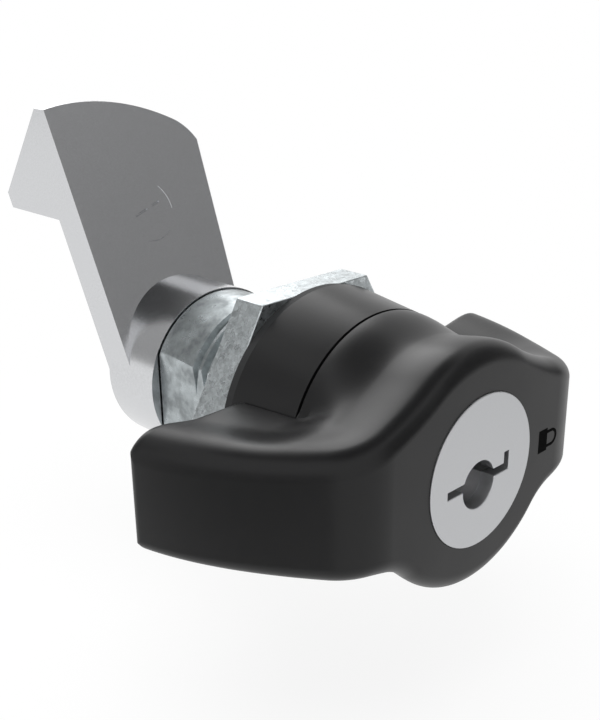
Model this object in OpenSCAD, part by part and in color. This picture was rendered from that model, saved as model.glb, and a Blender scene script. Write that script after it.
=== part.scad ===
// Quarter-turn cam latch with a key-locked wing knob, in millimetres.
// The latch axis lies along Y: the knob faces -Y, the cam stands at +Y and Z is up.
// The origin is on that axis, in the panel face that the gasket is pressed against.
// At rest the wings are level, the cam points up and the lock is open.

/* [Panel seat] */
// Outside diameter of the threaded shank
thread_d = 20; // [18:0.5:23]
// Distance across the two flats of the shank
shank_flats = 18; // [16.5:0.1:19.4]
// Length of the shank behind the panel face
shank_len = 16.5; // [15:0.1:26]
// Distance across the flats of the panel nut
nut_af = 27; // [25:0.5:34]
// Thickness of the panel nut
nut_h = 4; // [2.5:0.5:8]
// Thickness of the gasket
gasket_t = 1; // [0.5:0.1:2.5]

/* [Drum] */
// Diameter of the drum at its front
drum_d = 26; // [25:0.1:28]
// How far the drum widens towards the gasket, on each side
drum_taper = 1; // [0:0.1:1.5]
// Length of the drum in front of the gasket
drum_len = 7.8; // [7.6:0.1:12]
// Wall of the drum's outer sleeve
sleeve_wall = 1.9; // [1:0.1:2.2]
// Wall of the cup inside the sleeve
cup_wall = 1.5; // [1:0.1:2]
// Thickness of the cup's floor
cup_floor = 2.2; // [1.8:0.1:3]

/* [Wing knob] */
// Span of the wings at their back edge
wing_span = 53; // [46:0.5:64]
// Height of the wings
wing_h = 12; // [10:0.2:15]
// Distance from the panel face to the knob's front
knob_front = 22; // [20:0.1:28]
// Distance from the panel face to the back of the wings
knob_back = 1.5; // [1:0.1:4]
// Diameter of the rim round the key face
boss_d = 25; // [24:0.1:27]
// Angle by which the wing ends flare out towards the panel
wing_flare = 23.6; // [10:0.2:28]
// Radius of the wings' front corners
wing_corner = 7; // [3:0.5:9]
// Radius of the edge along the wing ends and the front
ridge_r = 2; // [1:0.1:3]
// Depth of the finger valley behind that edge
valley_depth = 0.7; // [0:0.1:1.5]
// Width over which the edge falls into the valley
valley_w = 5; // [3:0.5:8]
// Radius of the fillet between boss and wings at the front
root_blend = 30; // [15:1:40]
// Length over which the boss passes from the drum's outline into the rim
saddle_len = 6; // [3:0.5:9]
// Radius of the knob's back edge
back_edge_r = 1.2; // [0.5:0.1:2]

/* [Key lock] */
// Diameter of the key face
face_d = 15.7; // [15:0.1:17]
// Thickness of the key face
face_t = 1.6; // [1:0.1:2]
// How far the key face stands in front of the knob
face_proud = 0.15; // [0:0.05:0.5]
// Sideways place of the key axis
key_x = -0.5; // [-0.6:0.1:0.6]
// Height of the key axis
key_y = -1.3; // [-1.4:0.1:0]
// Diameter of the hole for the key's stem
key_hole_d = 4.9; // [4:0.1:5.2]
// Reach of each key slot from the key axis
key_reach = 4.8; // [4:0.1:4.9]
// Width of the key slots
key_slot_w = 0.8; // [0.6:0.1:1.2]
// Height of the key slots above the key axis
key_slot_rise = 0.45; // [0:0.05:0.6]
// Height of the turned-up end of the right slot
key_hook_h = 2; // [1.2:0.1:2.6]
// Diameter of the rotor that the key turns
rotor_d = 10.2; // [10:0.1:10.6]
// Length of the rotor inside the barrel
rotor_len = 3.6; // [3:0.1:4.2]
// Depth of the key pocket in the rotor
rotor_pocket = 1.8; // [1:0.1:2]
// Number of ward plates in front of the rotor
ward_count = 3; // [2:1:4]
// Side of the square tail on the rotor
rotor_square = 3.6; // [3:0.1:3.8]
// Diameter of the screw in the rotor's tail
rotor_screw_d = 1.6; // [1.2:0.1:2]
// Height of that screw's head
rotor_head_h = 0.5; // [0.3:0.1:0.6]
// How far that head laps over the corners of the square
rotor_head_lap = 0.25; // [0.15:0.05:0.35]

/* [Locking bolt] */
// Width of the bolt
bolt_w = 4; // [3:0.1:5]
// Thickness of the bolt
bolt_t = 2.6; // [2:0.1:2.7]
// Length of the bolt behind its follower pin
bolt_heel = 1.25; // [0.8:0.05:2]
// Diameter of the bolt's follower pin
bolt_pin_d = 1.5; // [1.2:0.1:1.6]
// Thickness of the bolt under that pin
bolt_pin_floor = 0.8; // [0.5:0.1:1.2]
// Radius of the spiral track where the bolt is drawn in
track_r = 4; // [3.8:0.1:4.2]
// Thickness of the spiral cam
spiral_t = 1.8; // [1.6:0.1:2.4]
// Depth of the spiral track
track_depth = 0.85; // [0.6:0.05:0.9]
// Diameter of the detent ball
ball_d = 1.5; // [1.2:0.1:1.5]
// Depth of the ball's arc in the spiral cam
ball_arc_depth = 0.4; // [0.3:0.05:0.45]
// Length of the detent spring
spring_len = 3; // [2:0.1:3.5]
// Diameter of the detent spring's wire
spring_wire = 0.24; // [0.2:0.02:0.3]
// Number of turns of the detent spring
spring_turns = 6; // [4:1:8]

/* [Spindle] */
// Diameter of the spindle
spindle_d = 10; // [9.4:0.1:10.5]
// Side of the square that drives the cam
cam_square = 7; // [6:0.1:7.4]
// Wall of the bearing bushes
bush_wall = 1.5; // [1:0.1:2]
// Thickness of the front bush's flange
bush_flange_t = 1; // [0.6:0.1:1.6]
// Length of each bush inside the shank
bush_len = 6; // [4:0.1:6.4]
// Thickness of the head behind the bolt
head_web = 1.85; // [1.4:0.05:2.4]
// Thickness of the ears that carry the knob
ear_t = 1.2; // [1:0.1:2]
// Distance of each knob screw from the axis
knob_screw_x = 10.6; // [10.2:0.1:12]
// Diameter of the knob screws
knob_screw_d = 2.4; // [2:0.1:2.6]
// Length of the knob screws
knob_screw_len = 7; // [5:0.5:8]
// Width of the land round the head of each knob screw
ear_land = 1; // [0.8:0.1:1.4]
// Distance of the stop pin from the rim of the spindle's head
stop_rim = 1.35; // [1.25:0.05:1.5]
// Diameter of the stop pin
stop_pin_d = 1.8; // [1.4:0.1:1.8]
// Depth of the stop pin in the cup's floor
stop_depth = 1.2; // [0.8:0.1:1.3]
// Depth of the seal's groove
seal_depth = 1; // [0.6:0.1:1.2]
// Thickness of the thrust washer
thrust_t = 0.8; // [0.5:0.1:1.2]
// Diameter of the thrust washer
thrust_d = 15; // [14:0.1:15.6]
// Thickness of the circlip
circlip_t = 0.8; // [0.6:0.1:1.2]
// Radial width of the circlip
circlip_w = 2.2; // [1.6:0.1:2.6]
// Radius of the circlip's lugs
circlip_lug_r = 1.1; // [0.9:0.1:1.4]
// Depth of the circlip's groove
circlip_depth = 0.6; // [0.4:0.1:0.8]
// Length of plain spindle between the circlip and the cam
hub_shoulder = 0.2; // [0.2:0.1:1]

/* [Cam] */
// Diameter of the cam's hub
hub_d = 20.4; // [18:0.2:24]
// Depth of the square hole in the hub
square_depth = 4.2; // [3.6:0.1:5]
// Width of the arm at the hub
arm_w = 20; // [16:0.5:20]
// Thickness of the arm
arm_t = 4.6; // [4:0.1:6]
// Angle by which the arm leans back
arm_lean = 26; // [15:1:30]
// Distance from the hub's front to the arm's front on the axis
arm_setback = 3.4; // [2.5:0.1:4]
// Extra width of the arm's leading side at its end
arm_flare = 1; // [0:0.1:2]
// Reach of the cam from the axis
cam_reach = 30.8; // [28:0.1:36]
// Radius of the arc at the cam's end
tip_arc_r = 28; // [26:0.5:40]
// Sideways place of the highest point of that arc
tip_apex_x = -5; // [-6:0.5:0]
// Radius of the leading corner
lead_corner_r = 6; // [3:0.5:7]
// Height of the nose's underside above the axis
nose_low = 17.5; // [15:0.1:20]
// Height of the nose's end face
nose_end_h = 1.8; // [1:0.1:3]
// Depth of the nose, square to the arm
nose_depth = 14.4; // [10:0.1:18]
// Thickness of the lip at the cam's end
lip_t = 1.6; // [1:0.1:2.4]

/* [Cam screw] */
// Diameter of the cam screw's thread
cam_screw_d = 5; // [4:0.5:5]
// Length of the cam screw under its head
cam_screw_len = 12; // [8:0.5:13]
// Diameter of the cam screw's head
cam_head_d = 9; // [8:0.1:10]
// Height of the cam screw's head
cam_head_h = 2.4; // [2:0.1:2.6]
// Distance across the hexagon socket in the head
cam_hex_af = 3; // [2.5:0.1:4]
// Depth of the hexagon socket
cam_hex_depth = 1.6; // [1.2:0.1:1.8]
// Diameter of the flat washer
cam_washer_d = 12; // [10:0.2:12.4]
// Thickness of the flat washer
cam_washer_t = 0.9; // [0.6:0.1:1.2]
// Thickness of the split washer
split_washer_t = 0.6; // [0.4:0.1:0.8]
// Width of the split
split_w = 0.8; // [0.5:0.1:1.5]

/* [Fits] */
// Radial clearance of a turning fit
turn_gap = 0.06; // [0.03:0.01:0.1]
// Gap between pieces that are fixed together
seat_gap = 0.05; // [0.02:0.01:0.1]
// Gap beside pieces that slide
slide_gap = 0.1; // [0.05:0.01:0.15]
// Gap round the key in the wards and the rotor
ward_gap = 0.2; // [0.15:0.05:0.3]
// Gap between the knob and the drum
knob_gap = 0.3; // [0.2:0.05:0.5]
// Gap between the spindle head and the cup
head_gap = 0.3; // [0.2:0.05:0.4]
// Distance of the drawn-in bolt inside the head's rim
tip_set_in = 0.25; // [0.1:0.05:0.5]
// How far the gasket stays inside the drum's outline
gasket_set_in = 0.1; // [0:0.05:0.3]
// How far the knob's boss stays inside the drum's outline
boss_set_in = 0.05; // [0:0.05:0.5]
// Relief at the round ends of a slot
end_relief = 0.03; // [0.02:0.01:0.08]
// Least wall beside a track or a pocket
thin_wall = 0.35; // [0.3:0.05:0.4]

/* [Hidden] */
$fn = 96;
// Depth by which a cut runs past a face
past = 1;

// Heights on the latch axis, from the panel face towards the front
drum_front = gasket_t + drum_len;
cup_front = drum_front - slide_gap;
floor_top = gasket_t + cup_floor;
head_back = floor_top + bush_flange_t + slide_gap;
pocket_back = head_back + head_web;
bolt_back = pocket_back + seat_gap;
bolt_front = bolt_back + bolt_t;
boss_back = drum_front + knob_gap;
ear_back = boss_back + seat_gap;
ear_front = ear_back + ear_t;
spiral_back = ear_front + slide_gap;
spiral_front = spiral_back + spiral_t;
barrel_back = spiral_front + seat_gap;
face_front = knob_front + face_proud;
face_back = face_front - face_t;
barrel_front = face_back - seat_gap;
rotor_front = barrel_back + rotor_len;
groove_back = -shank_len;
hub_front = groove_back - hub_shoulder;
circlip_front = groove_back + seat_gap + circlip_t;
thrust_front = circlip_front + seat_gap + thrust_t;
recess_floor = thrust_front + slide_gap;
square_back = hub_front - square_depth;
washer_back = square_back - cam_washer_t;
split_back = washer_back - split_washer_t;

// Radii
shank_r = thread_d / 2;
cup_r = drum_d / 2 - sleeve_wall - seat_gap;
cup_bore_r = cup_r - cup_wall;
head_r = cup_bore_r - head_gap;
stop_r = head_r - stop_rim;
bore_r = spindle_d / 2 + turn_gap + bush_wall + seat_gap;
barrel_r = face_d / 2;
socket_r = barrel_r + seat_gap;
rotor_bore_r = rotor_d / 2 + turn_gap;

// Locking bolt: its tip ends just inside the cup's outer face when it is out
tip_in = head_r - tip_set_in;
tip_out = cup_r - seat_gap;
bolt_travel = tip_out - tip_in;
key_turn = 90;
pin_y = key_y + track_r;
bolt_inner = pin_y - bolt_pin_d / 2 - bolt_heel;
track_half_w = bolt_pin_d / 2 + slide_gap;
spiral_r = track_r + bolt_travel + track_half_w + thin_wall;
ball_track_r = rotor_bore_r + seat_gap + ball_d / 2 + thin_wall;
ball_angle = 70;

// The rotor screw's head covers the corners of the square tail
rotor_head_r = rotor_square / sqrt(2) + rotor_head_lap;
rotor_head_top = spiral_back + seat_gap + rotor_head_h;
rotor_screw_tip = rotor_front - rotor_pocket - thin_wall;

// The detent ball rides in a shallow arc, so it reaches a little behind the barrel
ball_z = spiral_front - ball_arc_depth + slide_gap + ball_d / 2;
spring_top = ball_z + ball_d / 2 + spring_len;

// Seal and circlip on the spindle, and the recess in the shank's end
seal_r = (bore_r - spindle_d / 2 + seal_depth) / 2 - seat_gap;
seal_w = 2 * (seal_r + slide_gap);
seal_z = floor_top - bush_len - seal_w / 2 - head_gap;
circlip_groove_r = spindle_d / 2 - circlip_depth;
circlip_r = circlip_groove_r + seat_gap + circlip_w;
circlip_lug_at = circlip_r - circlip_lug_r / 2;
recess_r = max(thrust_d / 2, circlip_lug_at + circlip_lug_r) + head_gap;

// Front corner of the wings, foot of the fillet and points along half an outline
corner_tangent = wing_corner * tan((90 - wing_flare) / 2);
corner_x = wing_span / 2 - (knob_front - knob_back) * tan(wing_flare) - corner_tangent;
corner_z = knob_front - wing_corner;
boss_r = boss_d / 2;
fillet_foot = sqrt(pow(boss_r + root_blend, 2) - pow(wing_h / 2 + root_blend, 2));
outline_steps = 40;
// The loft runs this far past the flat front and back, which are then cut square
cap_step = 0.12;

// Cam: the arm's front on the axis and the back of the hub
arm_root = -hub_front + arm_setback;
hub_back = -(arm_root + arm_t / cos(arm_lean));

// Colours
knob_black = [0.17, 0.17, 0.17];
drum_black = [0.14, 0.14, 0.145];
rubber_black = [0.09, 0.09, 0.09];
zinc_grey = [0.70, 0.72, 0.73];
cast_grey = [0.62, 0.63, 0.64];
steel_grey = [0.55, 0.56, 0.58];
face_grey = [0.72, 0.72, 0.73];
bush_white = [0.86, 0.85, 0.80];

// Pieces are drawn with the latch axis along Z and the front upwards, then laid down
module laid_down() {
    rotate([90, 0, 0]) children();
}

// A slice of an outline between two heights on the axis
module slice(low, high) {
    translate([0, 0, low]) linear_extrude(high - low) children();
}

module ring(outer_r, inner_r) {
    difference() {
        circle(outer_r);
        circle(inner_r);
    }
}

module at_key_axis() {
    translate([key_x, key_y]) children();
}

function on_circle(r, angle) = [r * cos(angle), r * sin(angle)];

// A slot along a quarter of a circle, with round ends that are a little wider
module quarter_slot(r, width, start) {
    reach = 2 * (r + width);
    intersection() {
        ring(r + width / 2, r - width / 2);
        polygon(concat([[0, 0]], [for (turn = [0, 45, 90]) on_circle(reach, start + turn)]));
    }
    for (angle = [start, start + 90])
        translate(on_circle(r, angle)) circle(width / 2 + end_relief);
}

// Fixed body

module shank_outline() {
    intersection() {
        circle(shank_r);
        square([shank_flats, thread_d], center = true);
    }
}

module housing() {
    notch_w = bolt_w + 4 * slide_gap;
    color(zinc_grey) laid_down() difference() {
        union() {
            slice(-shank_len, gasket_t + seat_gap) shank_outline();
            slice(gasket_t, cup_front) circle(cup_r);
        }
        slice(floor_top, cup_front + past) circle(cup_bore_r);
        slice(-shank_len - past, floor_top + past) circle(bore_r);
        slice(-shank_len - past, recess_floor) circle(recess_r);
        // One notch for the bolt with the wings level and one with them upright
        for (turn = [0, -90])
            rotate(turn) slice(bolt_back - 2 * slide_gap, cup_front + past)
                translate([key_x - notch_w / 2, cup_bore_r - past]) square([notch_w, cup_wall + 2 * past]);
        slice(floor_top - stop_depth - 2 * slide_gap, floor_top + past)
            quarter_slot(stop_r, stop_pin_d + 2 * slide_gap, 180);
    }
}

function drum_r(z) = drum_d / 2 + drum_taper * (drum_front - z) / drum_len;

module drum_cone(low, high, gap) {
    translate([0, 0, low])
        cylinder(r1 = drum_r(low) + gap, r2 = drum_r(high) + gap, h = high - low);
}

module drum_sleeve() {
    color(drum_black) laid_down() difference() {
        drum_cone(gasket_t, drum_front, 0);
        slice(gasket_t - past, drum_front + past) circle(drum_d / 2 - sleeve_wall);
    }
}

module gasket() {
    color(rubber_black) laid_down() slice(0, gasket_t)
        ring(drum_r(gasket_t) - gasket_set_in, shank_r + slide_gap);
}

module panel_nut() {
    color(zinc_grey) laid_down() slice(-nut_h, 0) difference() {
        circle(nut_af / 2 / cos(30), $fn = 6);
        circle(shank_r + seat_gap);
    }
}

module bush_sleeve(low, high) {
    slice(low, high) ring(bore_r - seat_gap, spindle_d / 2 + turn_gap);
}

module front_bush() {
    flange_r = stop_r - stop_pin_d / 2 - 2 * slide_gap;
    color(bush_white) laid_down() {
        bush_sleeve(floor_top - bush_len, floor_top + bush_flange_t);
        slice(floor_top, floor_top + bush_flange_t) ring(flange_r, spindle_d / 2 + turn_gap);
    }
}

module rear_bush() {
    low = recess_floor + 2 * slide_gap;
    color(bush_white) laid_down() bush_sleeve(low, low + bush_len);
}

// Spindle and what turns with it

module ear_outline(gap) {
    circle(head_r + gap);
    half_w = knob_screw_d + ear_land + gap;
    square([2 * knob_screw_x, 2 * half_w], center = true);
    for (side = [-1, 1])
        translate([side * knob_screw_x, 0]) circle(half_w);
}

module spindle() {
    head_screw_r = knob_screw_d / 2 + seat_gap;
    color(steel_grey) laid_down() difference() {
        union() {
            slice(hub_front, head_back + past) circle(spindle_d / 2);
            slice(square_back + 2 * slide_gap, hub_front + past) square(cam_square, center = true);
            slice(head_back, ear_front) circle(head_r);
            slice(ear_back, ear_front) ear_outline(0);
        }
        // Pocket of the bolt and the slot for its pin
        slice(pocket_back, bolt_front + seat_gap)
            translate([key_x - bolt_w / 2 - slide_gap, bolt_inner - slide_gap])
                square([bolt_w + 2 * slide_gap, 2 * head_r]);
        slice(bolt_front, ear_front + past)
            translate([key_x - track_half_w, pin_y - track_half_w])
                square([2 * track_half_w, bolt_travel + 2 * track_half_w]);
        // Countersunk holes of the knob screws
        for (side = [-1, 1])
            translate([side * knob_screw_x, 0, ear_back]) {
                translate([0, 0, -past]) cylinder(r = head_screw_r, h = ear_t + 2 * past);
                cylinder(r1 = knob_screw_d + seat_gap, r2 = head_screw_r, h = ear_t - slide_gap);
                translate([0, 0, -past]) cylinder(r = knob_screw_d + seat_gap, h = past);
            }
        translate([0, -stop_r, head_back - past])
            cylinder(d = stop_pin_d + 2 * seat_gap, h = head_web + past);
        // Grooves of the seal and the circlip
        slice(seal_z - seal_w / 2, seal_z + seal_w / 2) ring(spindle_d, spindle_d / 2 - seal_depth);
        slice(groove_back, circlip_front + seat_gap) ring(spindle_d, circlip_groove_r);
        // Tapped hole of the cam screw
        slice(washer_back - past, square_back + cam_screw_len) circle(cam_screw_d / 2 + seat_gap);
    }
}

module spindle_seal() {
    color(rubber_black) laid_down() translate([0, 0, seal_z])
        rotate_extrude() translate([spindle_d / 2 - seal_depth + seal_r + seat_gap, 0]) circle(seal_r);
}

module stop_pin() {
    color(steel_grey) laid_down()
        translate([0, -stop_r, floor_top - stop_depth])
            cylinder(d = stop_pin_d, h = stop_depth + head_back + head_web - floor_top - seat_gap);
}

module thrust_washer() {
    color(steel_grey) laid_down()
        slice(thrust_front - thrust_t, thrust_front) ring(thrust_d / 2, spindle_d / 2 + seat_gap);
}

module circlip() {
    lug_hole_r = 0.5;
    lug_angle = 28;
    half_gap = 16;
    color(steel_grey) laid_down() slice(circlip_front - circlip_t, circlip_front) difference() {
        union() {
            ring(circlip_r, circlip_r - circlip_w);
            for (side = [-1, 1])
                translate(on_circle(circlip_lug_at, -90 + side * lug_angle)) circle(circlip_lug_r);
        }
        polygon([[0, 0], on_circle(2 * spindle_d, -90 - half_gap), on_circle(2 * spindle_d, -90 + half_gap)]);
        for (side = [-1, 1])
            translate(on_circle(circlip_lug_at, -90 + side * lug_angle)) circle(lug_hole_r);
    }
}

// Wing knob: a loft through outlines at heights on the axis

function smooth_step(t) = let (s = min(1, max(0, t))) s * s * (3 - 2 * s);

// How far a rounded edge draws in at a depth behind its face
function edge_in(r, depth) = depth >= r ? 0 : r - sqrt(max(0, r * r - pow(r - depth, 2)));

function wing_line(z) = wing_span / 2 - (z - knob_back) * tan(wing_flare);

function wing_end(z) = (z > corner_z + wing_corner * sin(wing_flare)
    ? corner_x + sqrt(max(0, pow(wing_corner, 2) - pow(z - corner_z, 2)))
    : wing_line(z)) - edge_in(back_edge_r, z - knob_back);

// Distance inside the front, the wing ends and the corners between them
function plan_inside(x, z) =
    let (u = abs(x) - corner_x, v = z - corner_z)
    u > 0 && v > u * tan(wing_flare)
        ? wing_corner - norm([u, v])
        : min(knob_front - z, (wing_line(z) - abs(x)) * cos(wing_flare));

// At the drum the boss stands square on the wings, and a wide fillet grows towards the front
function arc_top(r, x) = sqrt(max(0, r * r - x * x));

function fillet_top(x) =
    abs(x) > fillet_foot ? wing_h / 2
    : abs(x) > boss_r * fillet_foot / (boss_r + root_blend)
        ? wing_h / 2 + root_blend - sqrt(pow(root_blend, 2) - pow(fillet_foot - abs(x), 2))
    : arc_top(boss_r, x);

function knob_top(x, z) =
    let (inside = plan_inside(x, z),
         dip = valley_depth * smooth_step((inside - ridge_r) / valley_w),
         share = smooth_step((z - boss_back) / saddle_len),
         at_drum = max(arc_top(drum_d / 2 - boss_set_in, x), wing_h / 2 - dip),
         at_front = fillet_top(x) - dip)
    at_drum + (at_front - at_drum) * share
        - edge_in(ridge_r, inside) - edge_in(back_edge_r, z - knob_back);

function knob_outline(z) = concat(
    [for (i = [0:outline_steps])
        let (x = wing_end(z) * cos(180 * i / outline_steps)) [x, knob_top(x, z), z]],
    [for (i = [outline_steps:-1:0])
        let (x = wing_end(z) * cos(180 * i / outline_steps)) [x, -knob_top(x, z), z]]);

function spaced(from, to, steps) = [for (i = [0:steps]) from + (to - from) * i / steps];

module knob_loft() {
    front_zs = [for (angle = [18:18:72]) knob_front - ridge_r * (1 - cos(angle))];
    boss_zs = spaced(knob_front - ridge_r, boss_back, 9);
    wing_zs = spaced(boss_back - 2, knob_back + back_edge_r, 3);
    back_zs = [for (angle = [66:-22:22]) knob_back + back_edge_r * (1 - cos(angle))];
    zs = concat(knob_front + cap_step, front_zs, boss_zs, wing_zs, back_zs, knob_back - cap_step);
    outlines = [for (z = zs) knob_outline(z)];
    count = len(outlines[0]);
    last = (len(outlines) - 1) * count;
    polyhedron(
        points = [for (outline = outlines) each outline],
        faces = concat(
            [[for (i = [count - 1:-1:0]) i]],
            [for (row = [0:len(outlines) - 2], i = [0:count - 1])
                let (next = (i + 1) % count)
                [row * count + i, row * count + next, (row + 1) * count + next, (row + 1) * count + i]],
            [[for (i = [0:count - 1]) last + i]]));
}

module wing_knob() {
    color(knob_black) laid_down() difference() {
        knob_loft();
        for (low = [knob_front, knob_back - past])
            slice(low, low + past) square(2 * wing_span, center = true);
        slice(barrel_back, knob_front + past) circle(socket_r);
        slice(ear_front - past, barrel_back + past)
            at_key_axis() circle(spiral_r + head_gap);
        slice(-past, ear_front + seat_gap) ear_outline(slide_gap);
        drum_cone(-past, boss_back, knob_gap);
        for (side = [-1, 1])
            translate([side * knob_screw_x, 0, ear_front - past])
                cylinder(d = knob_screw_d + 2 * seat_gap, h = knob_screw_len + past);
    }
}

module knob_screws() {
    color(steel_grey) laid_down() for (side = [-1, 1])
        translate([side * knob_screw_x, 0, ear_back + seat_gap]) {
            cylinder(d = knob_screw_d, h = knob_screw_len);
            cylinder(r1 = knob_screw_d, r2 = knob_screw_d / 2, h = ear_t - slide_gap - seat_gap);
        }
}

// Key lock

module key_profile(gap, reach) {
    slot_w = key_slot_w + 2 * gap;
    circle(key_hole_d / 2 + gap);
    translate([-reach, key_slot_rise - slot_w / 2]) square([2 * reach, slot_w]);
    translate([reach - slot_w, key_slot_rise - slot_w / 2]) square([slot_w, key_hook_h + gap]);
}

module lock_barrel() {
    ball_at = on_circle(ball_track_r, ball_angle);
    color(zinc_grey) laid_down() difference() {
        slice(barrel_back, barrel_front) circle(barrel_r);
        slice(barrel_back - past, barrel_front + past) at_key_axis() circle(rotor_bore_r);
        slice(barrel_back - past, spring_top) at_key_axis() translate(ball_at) circle(ball_d / 2 + seat_gap);
    }
}

module key_face() {
    color(face_grey) laid_down() slice(face_back, face_front) difference() {
        circle(face_d / 2);
        at_key_axis() key_profile(0, key_reach);
    }
}

module ward_plates() {
    space = barrel_front - rotor_front - seat_gap;
    pitch = space / ward_count;
    color(steel_grey) laid_down() for (i = [0:ward_count - 1])
        slice(rotor_front + seat_gap + i * pitch, rotor_front + (i + 1) * pitch)
            at_key_axis() difference() {
                circle(rotor_d / 2);
                key_profile(ward_gap, key_reach);
            }
}

module detent_ball() {
    color(steel_grey) laid_down() at_key_axis()
        translate(concat(on_circle(ball_track_r, ball_angle), ball_z)) sphere(d = ball_d);
}

// A coil of round wire swept along a helix
module coil(coil_r, wire_r, low, high, turns) {
    sides = 6;
    steps = 12 * turns;
    function wire_point(step, side) =
        let (turn = 360 * turns * step / steps, around = 360 * side / sides)
        concat(on_circle(coil_r + wire_r * cos(around), turn),
               low + (high - low) * step / steps + wire_r * sin(around));
    polyhedron(
        points = [for (step = [0:steps], side = [0:sides - 1]) wire_point(step, side)],
        faces = concat(
            [[for (side = [0:sides - 1]) side]],
            [for (step = [0:steps - 1], side = [0:sides - 1])
                let (next = (side + 1) % sides)
                [step * sides + side, (step + 1) * sides + side,
                 (step + 1) * sides + next, step * sides + next]],
            [[for (side = [sides - 1:-1:0]) steps * sides + side]]));
}

module detent_spring() {
    wire_r = spring_wire / 2;
    color(steel_grey) laid_down() at_key_axis() translate(on_circle(ball_track_r, ball_angle))
        coil(ball_d / 2 - spring_wire, wire_r, ball_z + ball_d / 2 + wire_r,
             spring_top - wire_r - seat_gap, spring_turns);
}

module key_rotor() {
    color(steel_grey) laid_down() at_key_axis() difference() {
        union() {
            slice(barrel_back + seat_gap, rotor_front) circle(rotor_d / 2);
            slice(rotor_head_top + seat_gap, barrel_back + past) square(rotor_square, center = true);
        }
        slice(rotor_front - rotor_pocket, rotor_front + past) key_profile(ward_gap, key_reach);
        slice(spiral_back, rotor_screw_tip + seat_gap) circle(rotor_screw_d / 2 + seat_gap);
    }
}

// The track's radius grows evenly with the key's turn, so the bolt follows at a steady rate
module spiral_track() {
    function track_at(turn, shift) = on_circle(track_r + bolt_travel * turn / key_turn + shift, 90 + turn);
    turns = [0:5:key_turn];
    polygon(concat(
        [for (turn = turns) track_at(turn, track_half_w)],
        [for (turn = turns) track_at(key_turn - turn, -track_half_w)]));
    for (turn = [0, key_turn])
        translate(track_at(turn, 0)) circle(track_half_w);
}

module spiral_cam() {
    color(zinc_grey) laid_down() at_key_axis() difference() {
        slice(spiral_back, spiral_front) circle(spiral_r);
        slice(spiral_back - past, spiral_front + past) square(rotor_square + 2 * seat_gap, center = true);
        slice(spiral_back - past, rotor_head_top + seat_gap) circle(rotor_head_r + seat_gap);
        slice(spiral_back - past, spiral_back + track_depth) spiral_track();
        slice(spiral_front - ball_arc_depth, spiral_front + past)
            quarter_slot(ball_track_r, ball_d, ball_angle);
    }
}

module rotor_screw() {
    color(steel_grey) laid_down() at_key_axis() {
        slice(spiral_back + seat_gap, rotor_head_top) circle(rotor_head_r);
        slice(spiral_back + seat_gap, rotor_screw_tip) circle(rotor_screw_d / 2);
    }
}

module lock_bolt() {
    color(zinc_grey) laid_down() difference() {
        slice(bolt_back, bolt_front) intersection() {
            circle(tip_in);
            translate([key_x - bolt_w / 2, bolt_inner]) square([bolt_w, tip_in]);
        }
        slice(bolt_back + bolt_pin_floor, bolt_front + past)
            translate([key_x, pin_y]) circle(bolt_pin_d / 2 + seat_gap);
    }
}

module bolt_pin() {
    color(steel_grey) laid_down()
        slice(bolt_back + bolt_pin_floor + seat_gap, spiral_back + track_depth - slide_gap)
            translate([key_x, pin_y]) circle(bolt_pin_d / 2);
}

// Cam

// Distance behind the panel of a line parallel to the arm's front, at a height above the axis
function arm_line(offset, height) = arm_root + height * tan(arm_lean) + offset / cos(arm_lean);

module arm_side() {
    end_high = nose_low + nose_end_h;
    tip_front = arm_line(0, cam_reach);
    ramp_slope = (arm_line(nose_depth, end_high) - tip_front - lip_t) / (cam_reach - end_high);
    edge_rise = lip_t / (tan(arm_lean) + ramp_slope);
    edge = cam_reach + edge_rise;
    polygon([
        [0, -arm_line(0, 0)], [edge, -arm_line(0, edge)],
        [end_high, -arm_line(nose_depth, end_high)], [nose_low, -arm_line(nose_depth, nose_low)],
        [nose_low, -arm_line(arm_t, nose_low)], [0, -arm_line(arm_t, 0)]]);
}

module arm_front() {
    side_x = arm_w / 2;
    lead_x = side_x + arm_flare;
    arc_centre = [tip_apex_x, cam_reach - tip_arc_r];
    corner_reach = tip_arc_r - lead_corner_r;
    corner_x = lead_x - lead_corner_r;
    corner_rise = sqrt(pow(corner_reach, 2) - pow(corner_x - tip_apex_x, 2));
    corner = [corner_x, arc_centre[1] + corner_rise];
    far = 4 * lead_corner_r;
    difference() {
        intersection() {
            polygon([[-side_x, 0], [side_x, 0], [lead_x, corner[1]], [lead_x, cam_reach + past],
                     [-side_x, cam_reach + past]]);
            translate(arc_centre) circle(tip_arc_r);
        }
        difference() {
            polygon([corner, corner + [far, 0], corner + [far, far],
                     corner + far / corner_reach * (corner - arc_centre)]);
            translate(corner) circle(lead_corner_r);
        }
    }
}

module cam() {
    nose_back = arm_line(nose_depth, nose_low + nose_end_h);
    color(cast_grey) laid_down() difference() {
        union() {
            slice(hub_back, hub_front) circle(hub_d / 2);
            intersection() {
                slice(-nose_back - past, hub_front - past) arm_front();
                translate([-hub_d, 0, 0]) rotate([90, 0, 90]) linear_extrude(2 * hub_d) arm_side();
            }
        }
        slice(square_back - past, hub_front + past) square(cam_square + 2 * seat_gap, center = true);
        slice(-nose_back, square_back) circle(cam_washer_d / 2 + slide_gap);
    }
}

module cam_washer() {
    color(steel_grey) laid_down()
        slice(washer_back, square_back) ring(cam_washer_d / 2, cam_screw_d / 2 + slide_gap);
}

module split_washer() {
    color(steel_grey) laid_down() slice(split_back, washer_back) difference() {
        ring(cam_head_d / 2, cam_screw_d / 2 + slide_gap);
        rotate(60) translate([0, -split_w / 2]) square([cam_head_d, split_w]);
    }
}

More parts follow.
